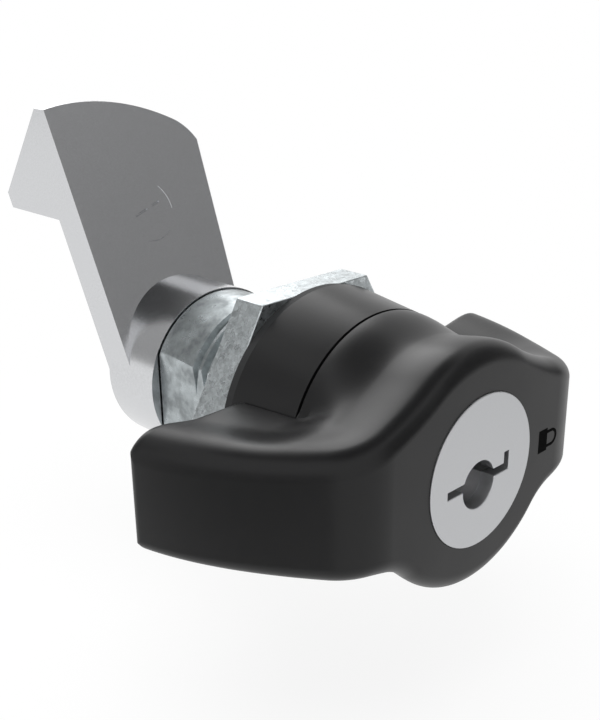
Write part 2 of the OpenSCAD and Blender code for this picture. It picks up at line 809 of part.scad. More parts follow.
module cam_screw() {
    color(steel_grey) laid_down() difference() {
        union() {
            slice(split_back - cam_head_h, split_back) circle(cam_head_d / 2);
            slice(split_back - past, split_back + cam_screw_len) circle(cam_screw_d / 2);
        }
        slice(split_back - cam_head_h - past, split_back - cam_head_h + cam_hex_depth)
            circle(cam_hex_af / 2 / cos(30), $fn = 6);
    }
}

housing();
drum_sleeve();
gasket();
panel_nut();
front_bush();
rear_bush();
spindle();
spindle_seal();
stop_pin();
thrust_washer();
circlip();
wing_knob();
knob_screws();
lock_barrel();
key_face();
ward_plates();
detent_ball();
detent_spring();
key_rotor();
spiral_cam();
rotor_screw();
lock_bolt();
bolt_pin();
cam();
cam_washer();
split_washer();
cam_screw();
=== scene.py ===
"""Looks of a quarter-turn cam latch, laid out as a Blender add-on and run as a script."""

import math

import bmesh
import bpy
from bpy.props import FloatProperty, FloatVectorProperty, IntProperty, PointerProperty
from mathutils import Matrix, Quaternion, Vector


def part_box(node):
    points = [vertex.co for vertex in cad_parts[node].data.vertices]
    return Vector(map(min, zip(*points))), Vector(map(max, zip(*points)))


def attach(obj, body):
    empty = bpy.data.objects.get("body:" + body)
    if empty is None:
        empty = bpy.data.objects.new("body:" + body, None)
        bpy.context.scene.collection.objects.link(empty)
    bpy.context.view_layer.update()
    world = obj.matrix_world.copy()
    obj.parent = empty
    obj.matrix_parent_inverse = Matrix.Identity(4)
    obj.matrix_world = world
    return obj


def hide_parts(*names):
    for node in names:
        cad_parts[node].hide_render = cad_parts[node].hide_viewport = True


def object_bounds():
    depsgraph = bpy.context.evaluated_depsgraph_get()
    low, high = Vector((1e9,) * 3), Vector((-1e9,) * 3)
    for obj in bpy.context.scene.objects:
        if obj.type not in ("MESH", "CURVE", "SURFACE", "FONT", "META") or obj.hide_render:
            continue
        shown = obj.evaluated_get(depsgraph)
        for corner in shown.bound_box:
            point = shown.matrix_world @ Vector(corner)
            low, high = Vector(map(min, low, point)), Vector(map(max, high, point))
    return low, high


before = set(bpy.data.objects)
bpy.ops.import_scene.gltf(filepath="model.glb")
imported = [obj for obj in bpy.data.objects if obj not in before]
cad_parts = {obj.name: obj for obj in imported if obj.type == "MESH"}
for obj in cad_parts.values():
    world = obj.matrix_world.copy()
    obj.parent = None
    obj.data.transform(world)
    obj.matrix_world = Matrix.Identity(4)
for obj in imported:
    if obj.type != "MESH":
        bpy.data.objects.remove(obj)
CAD_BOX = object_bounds()

bl_info = {
    "name": "Wing Knob Cam Latch",
    "version": (1, 0, 0),
    "blender": (4, 5, 0),
    "location": "View3D > Sidebar > Latch",
    "description": "Dresses a packed quarter-turn cam latch and sets up its studio",
    "category": "Object",
}

MM = 0.001
WHITE = (1.0, 1.0, 1.0, 1.0)
# Points this close are welded, and faces this level are joined
WELD = 1e-6
LEVEL = math.radians(0.4)
# How far a cutter reaches out of the piece, and how far two hollows overlap
PAST = 2 * MM
LAP = 1 * MM
# Outlines round the knob's front and back edges and along its wings, and tries for a foot on a wing end
EDGE_ROWS = 12
WING_ROWS = 24
FOOT_TRIES = 8
# Steps in a turn of the thread, corners of its groove, and the groove's half width over its depth
THREAD_STEPS = 72
GROOVE_CORNERS = 4
GROOVE_SLOPE = 0.577
# Arcs of the mould mark's ring in degrees, and ends of its dashes in shares of the ring's radius
MARK_ARCS = ((-5, 42), (-105, -50))
MARK_DASHES = ((-0.43, 0.09), (0.28, 0.62))
# Angle in degrees where the cut along the cam's hub starts
HUB_START = -4


def srgb(code):
    """Linear RGBA of an sRGB hex colour."""
    shares = [int(code[i:i + 2], 16) / 255 for i in (1, 3, 5)]
    return (*[s / 12.92 if s <= 0.04045 else ((s + 0.055) / 1.055) ** 2.4 for s in shares], 1.0)


def length(name, description, millimetres):
    """A size that a user may change, given in millimetres and kept in metres."""
    return FloatProperty(name=name, description=description, default=millimetres * MM,
                         unit="LENGTH", subtype="DISTANCE", precision=5)


def angle(name, description, degrees):
    """An angle that a user may change, given in degrees and kept in radians."""
    return FloatProperty(name=name, description=description, default=math.radians(degrees),
                         unit="ROTATION", subtype="ANGLE")


def colour(name, description, code):
    """A colour that a user may change, given as an sRGB hex value."""
    return FloatVectorProperty(name=name, description=description, default=srgb(code),
                               size=4, subtype="COLOR", min=0.0, max=1.0)


def place(name, description, metres):
    """A place that a user may change, in metres."""
    return FloatVectorProperty(name=name, description=description, default=metres,
                               unit="LENGTH", subtype="TRANSLATION", precision=5)


def power(name, description, watts):
    """A lamp's power that a user may change."""
    return FloatProperty(name=name, description=description, default=watts, min=0, unit="POWER")


# Settings

class LatchKnobSettings(bpy.types.PropertyGroup):
    """Form and finish of the wing knob."""

    span: length("Span", "Distance between the wing ends before their edges are rounded", 53)
    height: length("Height", "Height of the wings", 12)
    rim: length("Rim diameter", "Diameter of the rim round the key face", 25)
    flare_back: angle("Back flare", "Flare of the wing ends where they start at the panel", 10.8)
    flare_front: angle("Front flare", "Flare of the wing ends where they pass into the front corners", 36)
    corner: length("Front corner", "Radius of the wings' front corners", 7)
    edge: length("Edge", "Radius of the edge along the wing ends and the front", 2)
    lower_edge: length("Lower edge", "Radius of the edge along the wing ends on the underside", 1.3)
    back_softness: length("Back softness", "How much the upper radius grows towards the panel", 1)
    valley_depth: length("Valley depth", "Depth of the finger valley behind that edge", 0.7)
    valley_width: length("Valley width", "Width over which the edge falls into the valley", 5)
    root_blend: length("Root blend", "Fillet between boss and wings on the upper side", 30)
    lower_blend: length("Lower blend", "Fillet between boss and wings on the underside", 8)
    root_crease: length("Root crease", "Softness of the corner between boss and wings at the drum", 0.8)
    saddle: length("Saddle", "Length over which the boss passes from the drum into the rim", 6)
    back_edge: length("Back edge", "Radius of the knob's back edge", 1.2)
    boss_set_in: length("Boss set-in", "How far the boss stays inside the drum's outline", 0.05)
    drum_taper: length("Drum taper", "How far the drum widens towards the gasket, on each side", 1)
    gap: length("Drum gap", "Gap between the knob and the drum", 0.3)
    fit: length("Fit", "Clearance round the pieces inside the knob", 0.05)
    ear_width: length("Ear width", "Width of the slot for the spindle's ears", 7)
    columns: IntProperty(name="Columns", description="Steps along half an outline", default=120, min=24)
    rows: IntProperty(name="Rows", description="Outlines along the boss", default=48, min=8)
    tone: colour("Knob black", "Colour of the knob's plastic", "#101011")
    drum_tone: colour("Drum black", "Colour of the drum's plastic", "#101011")


class LatchSignSettings(bpy.types.PropertyGroup):
    """The padlock sign on the knob's front, lying on its side."""

    place_x: length("Across", "Left edge of the padlock's body", 9.7)
    place_z: length("Up", "Height of the padlock's middle", -0.4)
    body_length: length("Body length", "Length of the padlock's body", 1.5)
    body_width: length("Body width", "Width of the padlock's body", 2.5)
    shackle_length: length("Shackle length", "Length of the shackle", 1.75)
    shackle_width: length("Shackle width", "Width of the shackle", 1.9)
    stroke: length("Stroke", "Thickness of the shackle", 0.32)
    rise: length("Rise", "How far the body's print stands out of the front", 0.015)
    shackle_rise: length("Shackle rise", "How far the shackle's print stands out of the front", 0.018)
    root: length("Root", "How far the print reaches into the front", 0.1)
    tone: colour("Sign black", "Colour of the print", "#050505")


class LatchMetalSettings(bpy.types.PropertyGroup):
    """Form and finish of the metal pieces."""

    thread_radius: length("Thread radius", "Radius of the shank's thread at its crests", 10)
    thread_pitch: length("Thread pitch", "Distance between two turns of the shank's thread", 1.5)
    thread_depth: length("Thread depth", "Depth of the shank's thread", 0.92)
    thread_start: length("Thread start", "Distance from the panel face to the start of the thread", 0.3)
    thread_end: length("Thread end", "Distance from the panel face to the end of the thread", 11)
    cast_edge: length("Cast edge", "Rounding of the cam's edges", 0.5)
    nut_edge: length("Nut edge", "Rounding of the nut's edges", 0.12)
    face_edge: length("Key face edge", "Rounding of the key face's edges", 0.1)
    arm_lean: angle("Arm lean", "Angle by which the cam's arm leans back", 26)
    arm_root: length("Arm root", "Place of the arm's front on the axis, behind the panel face", 20.1)
    arm_side: length("Arm side", "Sideways place of the arm's leading edge at the axis", 7.76)
    arm_flare: angle("Arm flare", "Angle by which that edge runs outwards", 6.05)
    hub_gap: length("Hub gap", "Gap between the hub and the cut that draws in the arm", 0.05)
    mark_radius: length("Mark radius", "Radius of the mould insert's ring on the arm", 3.94)
    mark_reach: length("Mark reach", "Distance of that ring from the axis, along the arm", 20)
    mark_shift: length("Mark shift", "Sideways place of that ring", -0.84)
    mark_turn: angle("Mark turn", "Turn of the dashed line across that ring", 18.5)
    mark_line: length("Mark line", "Half the width of the ring's groove", 0.05)
    dash_line: length("Dash line", "Half the width of the dashes across the ring", 0.13)
    spangle: length("Spangle", "Size of the zinc crystals on the nut", 0.6)
    nut_tone: colour("Nut zinc", "Colour of the galvanised nut", "#c2c8ca")
    shank_tone: colour("Shank zinc", "Colour of the plated shank", "#a0a6a8")
    cam_tone: colour("Cam zinc", "Colour of the cast cam", "#d0d1d3")
    face_tone: colour("Face nickel", "Colour of the key face", "#c4c5c7")
    # Bright nickel that is partly painted light: it is lightened past the plate's own tone so that the hole
    # behind the key face looks lit.
    key_tone_with_painted_light: colour("Key nickel", "Colour of the bright pieces behind the key hole", "#f0f0f1")
    steel_tone: colour("Steel", "Colour of the plated steel pieces", "#b4b7ba")


class LatchStageSettings(bpy.types.PropertyGroup):
    """Camera, lamps, mirrored cards and floor, with lamps and cards placed from the latch's middle."""

    eye: place("Eye", "Place of the camera", (-0.07325, -0.07317, 0.04417))
    target: place("Target", "Point that the camera looks at", (-0.0027, 0.0, 0.00631))
    roll: angle("Roll", "Turn of the camera about its view", -0.78)
    lens: FloatProperty(name="Lens", description="Focal length in millimetres", default=51.04, min=10)
    fill: FloatProperty(name="Fill", description="Strength of the light from all round", default=0.5, min=0)
    top_power: power("Top light", "Power of the soft light overhead", 1.0)
    top_size: length("Top light size", "Side of the soft light overhead", 320)
    top_place: place("Top light place", "Place of the soft light overhead", (-0.05, -0.05, 0.36))
    rim_power: power("Rim light", "Power of the soft light behind, which the tops mirror", 0.6)
    rim_size: length("Rim light size", "Side of the soft light behind", 300)
    rim_place: place("Rim light place", "Place of the soft light behind", (0.12, 0.3, 0.24))
    front_tone: colour("Front card", "Colour of the grey card in front", "#8c8c8c")
    front_reach: length("Front card reach", "Half the side of the card in front", 220)
    front_place: place("Front card place", "Place of the card in front", (0.2178, -0.2277, 0.099))
    ceiling_tone: colour("Ceiling card", "Colour of the dark card overhead", "#303030")
    ceiling_reach: length("Ceiling card reach", "Half the side of the card overhead", 130)
    ceiling_place: place("Ceiling card place", "Place of the card overhead", (0.0, 0.0, 0.3))
    side_tone: colour("Side card", "Colour of the grey card beside the left wing", "#c4c4c4")
    side_reach: length("Side card reach", "Half the side of the card beside the left wing", 35)
    side_place: place("Side card place", "Place of the card beside the left wing", (-0.06, -0.022, -0.021))
    back_tone: colour("Back card", "Colour of the grey card behind the left side", "#b0b0b0")
    back_reach: length("Back card reach", "Half the side of the card behind the left side", 120)
    back_place: place("Back card place", "Place of the card behind the left side", (-0.165, 0.225, 0.114))
    floor_tone: colour("Floor", "Colour of the studio floor", "#f4f4f4")
    floor_reach: length("Floor reach", "Half the side of the floor", 3000)
    floor_gap: length("Floor gap", "Gap between the floor and the wings when they are upright", 1)
    floor_glow: FloatProperty(name="Floor glow", default=0.87, min=0, max=1, subtype="FACTOR",
                              description="Share of white that the eye sees under the latch")
    glow_start: length("Glow start", "Distance from the latch where that white starts to grow", 40)
    glow_end: length("Glow end", "Distance from the latch where the floor is all white", 110)


# Helpers for nodes and meshes

def add_node(tree, kind, inputs=None, **settings):
    """Add a node, set its properties and give its sockets values or links."""
    node = tree.nodes.new(kind)
    for name, value in settings.items():
        setattr(node, name, value)
    for socket, value in (inputs or {}).items():
        if isinstance(value, bpy.types.NodeSocket):
            tree.links.new(value, node.inputs[socket])
        else:
            node.inputs[socket].default_value = value
    return node


def new_object(name, data):
    """A new object in the scene."""
    obj = bpy.data.objects.new(name, data)
    bpy.context.scene.collection.objects.link(obj)
    return obj


def mesh_object(name, form):
    """An object with the mesh of a bmesh, which is freed."""
    bmesh.ops.recalc_face_normals(form, faces=form.faces)
    mesh = bpy.data.meshes.new(name)
    form.to_mesh(mesh)
    form.free()
    return new_object(name, mesh)


def welded_copy(node, name):
    """A copy of a CAD node with its loose triangles welded and its flat faces whole."""
    form = bmesh.new()
    form.from_mesh(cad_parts[node].data)
    bmesh.ops.remove_doubles(form, verts=form.verts, dist=WELD)
    bmesh.ops.dissolve_limit(form, angle_limit=LEVEL, verts=form.verts, edges=form.edges)
    obj = mesh_object(name, form)
    for attribute in ("custom_normal", "sharp_edge", "sharp_face"):
        if attribute in obj.data.attributes:
            obj.data.attributes.remove(obj.data.attributes[attribute])
    return obj


def apply_modifiers(obj):
    """Turn what the modifiers make into the object's plain mesh."""
    graph = bpy.context.evaluated_depsgraph_get()
    made = bpy.data.meshes.new_from_object(obj.evaluated_get(graph))
    obj.modifiers.clear()
    obj.data = made


def cut(obj, cutter):
    """Take a cutter's volume out of an object and delete the cutter."""
    boolean = obj.modifiers.new("cut", "BOOLEAN")
    boolean.operation = "DIFFERENCE"
    boolean.solver = "EXACT"
    boolean.object = cutter
    apply_modifiers(obj)
    bpy.data.objects.remove(cutter)


def round_edges(obj, width, segments, sharper_than=30):
    """Round every edge that is sharper than an angle in degrees."""
    bevel = obj.modifiers.new("edges", "BEVEL")
    bevel.width = width
    bevel.segments = segments
    bevel.limit_method = "ANGLE"
    bevel.angle_limit = math.radians(sharper_than)
    apply_modifiers(obj)


def shade(obj, sharper_than=30):
    """Smooth shading that keeps flat faces flat, and edges sharper than an angle in degrees sharp."""
    obj.data.polygons.foreach_set("use_smooth", [True] * len(obj.data.polygons))
    obj.data.set_sharp_from_angle(angle=math.radians(sharper_than))
    normals = obj.modifiers.new("normals", "WEIGHTED_NORMAL")
    normals.keep_sharp = True
    apply_modifiers(obj)


def finish_piece(obj, body, material, slot, *nodes):
    """Give a piece its material, its body and the CAD nodes that it stands for."""
    obj.data.materials.clear()
    obj.data.materials.append(material)
    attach(obj, body)
    if nodes:
        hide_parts(*nodes)


def dress(material, *nodes):
    """Give CAD nodes a material and leave their shapes alone."""
    for node in nodes:
        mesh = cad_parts[node].data
        mesh.materials.clear()
        mesh.materials.append(material)


def cylinder(name, radius, front, back, middle=(0.0, 0.0), back_radius=None, sides=160):
    """A closed cylinder along Y about a middle in X and Z, or a cone if its back radius is given."""
    form = bmesh.new()
    lie = (Matrix.Translation((middle[0], (front + back) / 2, middle[1]))
           @ Matrix.Rotation(math.radians(90), 4, "X"))
    bmesh.ops.create_cone(form, cap_ends=True, segments=sides, radius1=back_radius or radius,
                          radius2=radius, depth=back - front, matrix=lie)
    return mesh_object(name, form)


def prism(name, outline, front, back):
    """A closed prism along Y over an outline in X and Z."""
    form = bmesh.new()
    face = form.faces.new([form.verts.new((x, front, z)) for x, z in outline])
    made = bmesh.ops.extrude_face_region(form, geom=[face])["geom"]
    moved = [part for part in made if isinstance(part, bmesh.types.BMVert)]
    bmesh.ops.translate(form, verts=moved, vec=(0, back - front, 0))
    return mesh_object(name, form)


def arc(middle, radius, start, end, steps=24):
    """Points along an arc whose angles are in degrees."""
    turns = [math.radians(start + (end - start) * i / steps) for i in range(steps + 1)]
    return [(middle[0] + radius * math.cos(t), middle[1] + radius * math.sin(t)) for t in turns]


def wire(name, points, radius):
    """A round wire along points."""
    curve = bpy.data.curves.new(name, "CURVE")
    curve.dimensions = "3D"
    curve.bevel_depth = radius
    curve.bevel_resolution = 2
    curve.use_fill_caps = True
    spline = curve.splines.new("POLY")
    spline.points.add(len(points) - 1)
    for point, spot in zip(spline.points, points):
        point.co = (*spot, 1.0)
    path = new_object(name + "_path", curve)
    graph = bpy.context.evaluated_depsgraph_get()
    mesh = bpy.data.meshes.new_from_object(path.evaluated_get(graph))
    bpy.data.objects.remove(path)
    return new_object(name, mesh)


# Materials

def new_material(name, sockets):
    """A material with one Principled shader and the Object coordinates that its patterns read."""
    material = bpy.data.materials.new(name)
    material.use_nodes = True
    tree = material.node_tree
    tree.nodes.clear()
    shader = add_node(tree, "ShaderNodeBsdfPrincipled", sockets)
    add_node(tree, "ShaderNodeOutputMaterial", {"Surface": shader.outputs["BSDF"]})
    spot = add_node(tree, "ShaderNodeTexCoord").outputs["Object"]
    return material, tree, shader, spot


def shaded(tone, factor):
    """A lighter or darker shade of a colour."""
    return (*[min(1.0, share * factor) for share in tone[:3]], 1.0)


def pattern(millimetres):
    """Scale of a texture whose pattern has a real size in millimetres."""
    return 1.0 / (millimetres * MM)


def connect(tree, shader, tone_share, tones, gloss_share, roughness, bump=None):
    """Let the shares of a pattern run a shader's colour and roughness from one end to the other."""
    # A Mix node has its colours in sockets 6 and 7 and gives them out at 2
    tint = add_node(tree, "ShaderNodeMix", {0: tone_share, 6: tones[0], 7: tones[1]}, data_type="RGBA")
    gloss = add_node(tree, "ShaderNodeMapRange", {"Value": gloss_share, "To Min": roughness[0],
                                                  "To Max": roughness[1]})
    tree.links.new(tint.outputs[2], shader.inputs["Base Color"])
    tree.links.new(gloss.outputs["Result"], shader.inputs["Roughness"])
    if bump:
        tree.links.new(bump.outputs["Normal"], shader.inputs["Normal"])


def moulded_polyamide(name, tone, roughness):
    """Glass-filled polyamide from a spark-eroded mould: deep satin black with a fine even grain."""
    material, tree, shader, spot = new_material(name, {"IOR": 1.53, "Specular IOR Level": 0.29})
    cloud = add_node(tree, "ShaderNodeTexNoise", {"Vector": spot, "Scale": pattern(7.143), "Detail": 3.0})
    # The mould's grain is finer than a pixel and is drawn at 0.25 mm, so that it shows
    grain = add_node(tree, "ShaderNodeTexNoise", {"Vector": spot, "Scale": pattern(0.25), "Detail": 2.0})
    patches = add_node(tree, "ShaderNodeMapRange", {"Value": cloud.outputs["Fac"], "From Min": 0.3,
                                                    "From Max": 0.7})
    bump = add_node(tree, "ShaderNodeBump", {"Height": grain.outputs["Fac"], "Strength": 0.15,
                                             "Distance": 0.02 * MM})
    connect(tree, shader, cloud.outputs["Fac"], (shaded(tone, 0.88), shaded(tone, 1.12)),
            patches.outputs["Result"], (roughness - 0.04, roughness + 0.04), bump)
    return material


def printing_ink(tone):
    """Pad-printing ink: a thin dead-matt black that reads as a dark sign on the satin knob."""
    material, tree, shader, spot = new_material("pad_print_ink", {"IOR": 1.5, "Specular IOR Level": 0.05})
    film = add_node(tree, "ShaderNodeTexNoise", {"Vector": spot, "Scale": pattern(0.4), "Detail": 2.0})
    connect(tree, shader, film.outputs["Fac"], (shaded(tone, 0.8), shaded(tone, 1.2)),
            film.outputs["Fac"], (0.8, 0.9))
    return material


def nitrile_rubber():
    """Moulded nitrile rubber: matt black with a dusty bloom in soft patches."""
    material, tree, shader, spot = new_material("nitrile_rubber_moulded", {"IOR": 1.52})
    bloom = add_node(tree, "ShaderNodeTexNoise", {"Vector": spot, "Scale": pattern(4), "Detail": 4.0})
    connect(tree, shader, bloom.outputs["Fac"], (srgb("#141415"), srgb("#242526")),
            bloom.outputs["Fac"], (0.6, 0.8))
    return material


def galvanised_steel(settings):
    """Hot-dip galvanised steel: flat zinc crystals, each with its own grey and gloss."""
    material, tree, shader, spot = new_material("galvanised_steel_spangled", {"Metallic": 1.0})
    scale = 1.0 / settings.spangle
    finer = 2.6 * scale
    warp = add_node(tree, "ShaderNodeTexNoise", {"Vector": spot, "Scale": scale, "Detail": 2.0})
    bend = add_node(tree, "ShaderNodeVectorMath", {0: warp.outputs["Color"], 1: (settings.spangle,) * 3},
                    operation="MULTIPLY")
    bent = add_node(tree, "ShaderNodeVectorMath", {0: spot, 1: bend.outputs[0]}, operation="ADD")
    crystals = add_node(tree, "ShaderNodeTexVoronoi", {"Vector": bent.outputs[0], "Scale": scale})
    flecks = add_node(tree, "ShaderNodeTexVoronoi", {"Vector": bent.outputs[0], "Scale": finer})
    large = add_node(tree, "ShaderNodeSeparateColor", {"Color": crystals.outputs["Color"]})
    small = add_node(tree, "ShaderNodeSeparateColor", {"Color": flecks.outputs["Color"]})
    both = add_node(tree, "ShaderNodeMath", {0: large.outputs["Red"], 1: small.outputs["Red"]},
                    operation="ADD")
    share = add_node(tree, "ShaderNodeMapRange", {"Value": both.outputs[0], "From Max": 2.0})
    connect(tree, shader, share.outputs["Result"],
            (shaded(settings.nut_tone, 0.7), shaded(settings.nut_tone, 1.25)),
            large.outputs["Green"], (0.25, 0.45))
    return material


def plated_metal(name, tone, patch, contrast, roughness):
    """Plated or plainly cast metal: smooth grey with soft cloudy patches, glossier where it is lighter."""
    material, tree, shader, spot = new_material(name, {"Metallic": 1.0})
    cloud = add_node(tree, "ShaderNodeTexNoise", {"Vector": spot, "Scale": 1.0 / patch, "Detail": 5.0,
                                                  "Roughness": 0.6})
    share = add_node(tree, "ShaderNodeMapRange", {"Value": cloud.outputs["Fac"], "From Min": 0.35,
                                                  "From Max": 0.65})
    connect(tree, shader, share.outputs["Result"], (shaded(tone, 1 - contrast), shaded(tone, 1 + contrast)),
            share.outputs["Result"], (roughness + 0.08, roughness - 0.06))
    return material


def tumbled_casting(tone):
    """Zinc casting tumbled to a satin: soft reflections broken up by a fine even grit."""
    material, tree, shader, spot = new_material("zinc_casting_tumbled", {"Metallic": 1.0})
    # The marks of tumbling are finer than a pixel and are drawn at 0.22 mm, so that they show
    grit = add_node(tree, "ShaderNodeTexNoise", {"Vector": spot, "Scale": pattern(0.2222), "Detail": 2.0})
    bump = add_node(tree, "ShaderNodeBump", {"Height": grit.outputs["Fac"], "Strength": 0.1,
                                             "Distance": 0.02 * MM})
    connect(tree, shader, grit.outputs["Fac"], (shaded(tone, 0.9), shaded(tone, 1.1)),
            grit.outputs["Fac"], (0.16, 0.26), bump)
    return material


def blasted_nickel(tone):
    """Bead-blasted nickel plate: pale, even and soft, with a very fine tooth."""
    material, tree, shader, spot = new_material("nickel_plate_blasted", {"Metallic": 1.0})
    # The beads' dents are finer than a pixel and are drawn at 0.2 mm, so that they show
    tooth = add_node(tree, "ShaderNodeTexNoise", {"Vector": spot, "Scale": pattern(0.2), "Detail": 2.0})
    connect(tree, shader, tooth.outputs["Fac"], (shaded(tone, 0.96), shaded(tone, 1.04)),
            tooth.outputs["Fac"], (0.42, 0.5))
    return material


def natural_acetal():
    """Injection-moulded acetal: creamy white, waxy and slightly cloudy."""
    material, tree, shader, spot = new_material("acetal_natural", {"IOR": 1.48})
    cloud = add_node(tree, "ShaderNodeTexNoise", {"Vector": spot, "Scale": pattern(3.03), "Detail": 3.0})
    connect(tree, shader, cloud.outputs["Fac"], (srgb("#d9d6c8"), srgb("#e8e5d9")),
            cloud.outputs["Fac"], (0.35, 0.5))
    return material


# Wing knob

def edge_in(radius, depth):
    """How far a rounded edge draws in at a depth behind its face."""
    if depth >= radius:
        return 0.0
    return radius - math.sqrt(max(0.0, radius ** 2 - (radius - depth) ** 2))


def smooth_step(value):
    """A soft step from 0 to 1."""
    held = min(1.0, max(0.0, value))
    return held * held * (3 - 2 * held)


def soft_max(first, second, softness):
    """The larger of two heights, with a fillet where they meet."""
    near = max(0.0, softness - abs(first - second))
    return max(first, second) + near * near / (4 * softness)


class KnobForm:
    """The knob's outline in X and Z at each distance in front of the panel face."""

    def __init__(self, size):
        """Work out what all outlines share, from the settings and the CAD boxes."""
        low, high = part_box("wing_knob")
        drum_low, drum_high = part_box("drum_sleeve")
        self.size = size
        self.front = -low.y
        self.back = -high.y
        self.boss_back = -drum_low.y + size.gap
        self.boss_radius = drum_high.x - size.drum_taper - size.boss_set_in
        self.corner_y = self.front - size.corner
        self.flare_end = self.corner_y + size.corner * math.sin(size.flare_front)
        bend = math.tan(size.flare_front) - math.tan(size.flare_back)
        self.curving = bend / (self.flare_end - self.back)
        self.corner_x = self.wing_line(self.flare_end) - size.corner * math.cos(size.flare_front)

    def wing_line(self, y):
        """Distance of the wings' bulging ends from the axis."""
        depth = y - self.back
        return self.size.span / 2 - depth * math.tan(self.size.flare_back) - self.curving * depth ** 2 / 2

    def wing_end(self, y):
        """Distance of the wing ends from the axis, with their corners and back edge."""
        size = self.size
        if y > self.flare_end:
            end = self.corner_x + math.sqrt(max(0.0, size.corner ** 2 - (y - self.corner_y) ** 2))
        else:
            end = self.wing_line(y)
        return end - edge_in(size.back_edge, y - self.back)

    def inside(self, x, y):
        """Distance inside the front, the wing ends and the corners between them."""
        size = self.size
        across = abs(x) - self.corner_x
        ahead = y - self.corner_y
        if across > 0 and ahead > across * math.tan(size.flare_front):
            return size.corner - math.hypot(across, ahead)
        foot = y
        for _ in range(FOOT_TRIES):
            slope = math.tan(size.flare_back) + self.curving * (foot - self.back)
            gap = self.wing_line(foot) - abs(x)
            foot = min(self.flare_end, max(self.back, y + gap * slope))
        return min(self.front - y, gap * math.hypot(1.0, slope))

    def rim_top(self, x, blend):
        """Height of the rim at the front: the boss, a fillet of the radius blend and the wing."""
        half = self.size.height / 2
        radius = self.size.rim / 2
        foot = math.sqrt((radius + blend) ** 2 - (half + blend) ** 2)
        if abs(x) > foot:
            return half
        if abs(x) > radius * foot / (radius + blend):
            return half + blend - math.sqrt(blend ** 2 - (foot - abs(x)) ** 2)
        return math.sqrt(radius ** 2 - x * x)

    def height(self, x, y, blend, back_edge):
        """Height of the outline: a rim round the front and the wing ends, with a valley behind it."""
        size = self.size
        inside = self.inside(x, y)
        edge = back_edge + (size.edge - back_edge) * smooth_step((y - self.back) / (self.front - self.back))
        dip = size.valley_depth * smooth_step((inside - edge) / size.valley_width)
        share = smooth_step((y - self.boss_back) / size.saddle)
        boss = math.sqrt(max(0.0, self.boss_radius ** 2 - x * x))
        at_drum = soft_max(boss, size.height / 2 - dip, size.root_crease)
        height = at_drum + (self.rim_top(x, blend) - dip - at_drum) * share
        return height - edge_in(edge, inside) - edge_in(size.back_edge, y - self.back)

    def places(self):
        """Distances of the outlines, from the front to the back."""
        size = self.size
        turns = [math.radians(90 * i / EDGE_ROWS) for i in range(EDGE_ROWS + 1)]
        front = [self.front - size.edge * (1 - math.cos(t)) for t in turns]
        steps = [i / size.rows for i in range(1, size.rows + 1)]
        boss = [front[-1] + (self.boss_back - front[-1]) * s for s in steps]
        last = self.back + size.back_edge
        wings = [self.boss_back + (last - self.boss_back) * i / WING_ROWS for i in range(1, WING_ROWS + 1)]
        back = [self.back + size.back_edge * (1 - math.cos(t)) for t in reversed(turns[:-1])]
        return front + boss + wings + back

    def outline(self, y):
        """Points all round the outline."""
        size = self.size
        end = self.wing_end(y)
        turns = [math.pi * i / size.columns for i in range(size.columns + 1)]
        across = [end * math.cos(t) for t in turns]
        upper = [(x, self.height(x, y, size.root_blend, size.edge + size.back_softness)) for x in across]
        lower = [(x, -self.height(x, y, size.lower_blend, size.lower_edge)) for x in reversed(across)]
        return upper + lower

    def loft(self, name):
        """The closed solid through all outlines."""
        form = bmesh.new()
        rings = [[form.verts.new((x, -y, z)) for x, z in self.outline(y)] for y in self.places()]
        for ring, following in zip(rings, rings[1:]):
            for i in range(len(ring)):
                j = (i + 1) % len(ring)
                form.faces.new((ring[i], ring[j], following[j], following[i]))
        form.faces.new(rings[0])
        form.faces.new(rings[-1])
        return mesh_object(name, form)


class LATCH_OT_knob(bpy.types.Operator):
    """Make the wing knob as a fine loft, hollowed for the drum and the lock inside"""

    bl_idname = "latch.knob"
    bl_label = "Wing knob"

    def execute(self, context):
        size = context.scene.latch_knob
        form = KnobForm(size)
        knob = form.loft("wing_knob_fine")
        drum_low, drum_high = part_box("drum_sleeve")
        barrel_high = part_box("lock_barrel")[1]
        spiral_low, spiral_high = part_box("spiral_cam")
        ears_low, ears_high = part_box("spindle")
        screws_low, screws_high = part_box("knob_screws")
        spiral_middle = ((spiral_low.x + spiral_high.x) / 2, (spiral_low.z + spiral_high.z) / 2)
        half_ear = size.ear_width / 2
        ear_x = ears_high.x + size.fit - half_ear
        ear_front = ears_low.y - size.fit
        slot = arc((ear_x, 0), half_ear, -90, 90) + arc((-ear_x, 0), half_ear, 90, 270)
        drum_front = drum_high.x - size.drum_taper + size.gap
        widening = size.drum_taper / (drum_high.y - drum_low.y)
        cut(knob, cylinder("drum_cutter", drum_front, -form.boss_back, PAST,
                           back_radius=drum_front + widening * (form.boss_back + PAST)))
        cut(knob, cylinder("socket_cutter", barrel_high.x + size.fit, -form.front - PAST, barrel_high.y))
        cut(knob, cylinder("spiral_cutter", (spiral_high.x - spiral_low.x) / 2 + size.gap,
                           barrel_high.y - LAP, ears_low.y + LAP, spiral_middle))
        cut(knob, prism("ear_cutter", slot, ear_front, PAST))
        cut(knob, cylinder("head_cutter", ears_high.z + size.fit, ear_front, PAST))
        for side in (-1, 1):
            screw_middle = (side * (screws_high.x - screws_high.z), 0.0)
            cut(knob, cylinder("screw_cutter", screws_high.z / 2 + size.fit, screws_low.y - size.fit,
                               screws_high.y, screw_middle))
        shade(knob, sharper_than=35)
        black = moulded_polyamide("polyamide_black_satin", size.tone, roughness=0.36)
        finish_piece(knob, "knob", black, "knob_plastic", "wing_knob")
        return {"FINISHED"}


